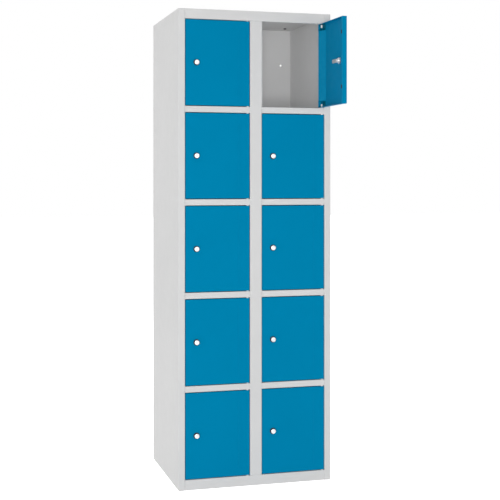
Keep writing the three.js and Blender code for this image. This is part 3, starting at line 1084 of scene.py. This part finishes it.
class LOCKER_OT_stage(bpy.types.Operator):
    """Set up the floor, the lights, the world and the camera"""

    bl_idname = "locker.stage"
    bl_label = "Stage"

    def execute(self, context):
        self.floor()
        self.world(context.scene)
        self.lights()
        self.fill()
        self.camera(context.scene)
        context.scene.view_settings.view_transform = "Standard"
        return {"FINISHED"}

    def floor(self):
        clear()
        bpy.ops.mesh.primitive_plane_add(size=60, location=(0, 0, -0.0005))
        floor = settle(bpy.context.object)
        floor.name = "studio_floor"
        material, shader = start_material("studio_floor", 0.9)
        shader.inputs["Base Color"].default_value = (*colours().floor, 1)
        shader.inputs["Specular IOR Level"].default_value = 0.0
        shader.inputs["Emission Color"].default_value = (1, 1, 1, 1)
        path = add_node(shader, "ShaderNodeLightPath")
        glow = spread(shader, path.outputs["Is Camera Ray"], FLOOR_GLOW, 1.0, (0, 1))
        shader.id_data.links.new(glow, shader.inputs["Emission Strength"])
        floor.data.materials.append(material)

    def world(self, scene):
        """Even white light, with the backdrop itself pure white"""
        world = bpy.data.worlds.new("studio")
        scene.world = world
        world.use_nodes = True
        tree = world.node_tree
        background = tree.nodes["Background"]
        background.inputs["Color"].default_value = (1, 1, 1, 1)
        path = tree.nodes.new("ShaderNodeLightPath")
        gloss = tree.nodes.new("ShaderNodeMath")
        gloss.operation = "MULTIPLY"
        gloss.inputs[1].default_value = WORLD_IN_GLOSS
        seen = tree.nodes.new("ShaderNodeMath")
        seen.operation = "MAXIMUM"
        level = tree.nodes.new("ShaderNodeMapRange")
        level.inputs["To Min"].default_value = WORLD_LEVEL
        level.inputs["To Max"].default_value = 1.0
        tree.links.new(path.outputs["Is Glossy Ray"], gloss.inputs[0])
        tree.links.new(path.outputs["Is Camera Ray"], seen.inputs[0])
        tree.links.new(gloss.outputs[0], seen.inputs[1])
        tree.links.new(seen.outputs[0], level.inputs["Value"])
        tree.links.new(level.outputs["Result"], background.inputs["Strength"])

    def lights(self):
        """Square soft boxes, each at a bearing round the cabinet, counted to the left from its front"""
        for name, bearing, distance, height, size, power in SOFT_BOXES:
            turn = math.radians(bearing)
            place = Vector((-distance * math.sin(turn), -distance * math.cos(turn), height))
            towards = Vector((0, 0, 0.95)) - place
            clear()
            bpy.ops.object.light_add(type="AREA", location=place)
            light = bpy.context.object
            light.name = f"soft_box_{name}"
            light.rotation_euler = towards.to_track_quat("-Z", "Y").to_euler()
            light.data.size = size
            light.data.energy = power

    def fill(self):
        """A weak soft light inside the open compartment, on its left wall"""
        low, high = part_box("centre_partition")
        shelf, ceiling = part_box(f"shelf_{OPEN_DOOR}")[1].z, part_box("roof")[0].z
        place = Vector((high.x + 0.004, 0, (shelf + ceiling) / 2))
        clear()
        bpy.ops.object.light_add(type="AREA", location=place, rotation=(0, -math.pi / 2, 0))
        light = bpy.context.object
        light.name = "fill"
        light.visible_camera = False
        light.visible_glossy = False
        light.data.shape = "RECTANGLE"
        light.data.size = 0.9 * (ceiling - shelf)
        light.data.size_y = 0.9 * (high.y - low.y)
        light.data.energy = FILL_POWER

    def camera(self, scene):
        clear()
        bpy.ops.object.camera_add(
            location=(-1.1608, -4.2786, 1.1594), rotation=(math.pi / 2, 0, -math.radians(15.766)))
        camera = bpy.context.object
        camera.name = "studio_camera"
        camera.data.sensor_width = 36
        camera.data.lens = 79.49
        camera.data.shift_y = -0.1402
        scene.camera = camera


OPERATORS = (
    LOCKER_OT_sides,
    LOCKER_OT_back,
    LOCKER_OT_roof,
    LOCKER_OT_floor,
    LOCKER_OT_stile,
    LOCKER_OT_shelves,
    LOCKER_OT_inner_sheets,
    LOCKER_OT_doors,
    LOCKER_OT_brackets,
    LOCKER_OT_buffers,
    LOCKER_OT_hinges,
    LOCKER_OT_locks,
    LOCKER_OT_stage,
)


class LOCKER_PT_panel(bpy.types.Panel):
    """The locker's building steps and settings"""

    bl_label = "Compartment Locker"
    bl_idname = "LOCKER_PT_panel"
    bl_space_type = "VIEW_3D"
    bl_region_type = "UI"
    bl_category = "Locker"

    def draw(self, context):
        for operator in OPERATORS:
            self.layout.operator(operator.bl_idname)
        for group in (context.scene.locker_sizes, context.scene.locker_colours):
            column = self.layout.column()
            for name in group.__annotations__:
                column.prop(group, name)


CLASSES = (LockerSizes, LockerColours, *OPERATORS, LOCKER_PT_panel)


def register():
    for each in CLASSES:
        bpy.utils.register_class(each)
    bpy.types.Scene.locker_sizes = PointerProperty(type=LockerSizes)
    bpy.types.Scene.locker_colours = PointerProperty(type=LockerColours)


def unregister():
    del bpy.types.Scene.locker_colours
    del bpy.types.Scene.locker_sizes
    for each in reversed(CLASSES):
        bpy.utils.unregister_class(each)


def main():
    register()
    for operator in OPERATORS:
        group, name = operator.bl_idname.split(".")
        getattr(getattr(bpy.ops, group), name)()


if __name__ == "__main__":
    main()
